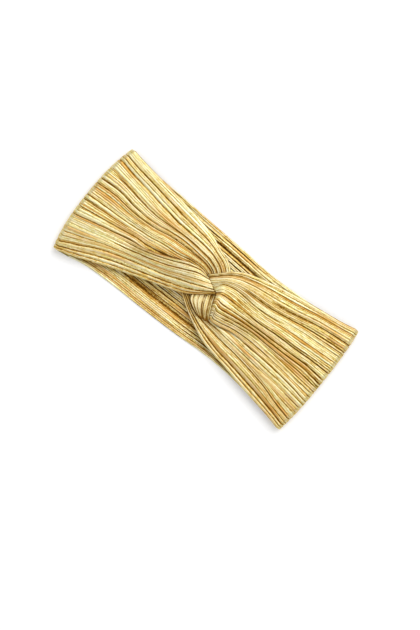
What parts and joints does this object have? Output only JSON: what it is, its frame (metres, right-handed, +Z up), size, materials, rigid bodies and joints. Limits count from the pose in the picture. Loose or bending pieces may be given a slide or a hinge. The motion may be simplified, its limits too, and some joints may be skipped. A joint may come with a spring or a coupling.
{
  "type": "hair band",
  "caption": "Wide head band of pleated gold cloth, with a twisted knot at the front, lying flat as a folded loop.",
  "frame": {"origin": "centre of the band's bounding box, on the surface that it lies on", "axes": "+X along the band towards its right fold, +Y across the band towards the edge that is its top when worn, +Z up out of the front with the knot"},
  "size_m": [0.2524, 0.105, 0.0157],
  "materials": {
    "gold_cloth": "pleated metallic knit, satin gold"
  },
  "bodies": {
    "root": {"left_strip": "gold_cloth", "right_strip": "gold_cloth", "back_band": "gold_cloth"}
  },
  "joints": []
}
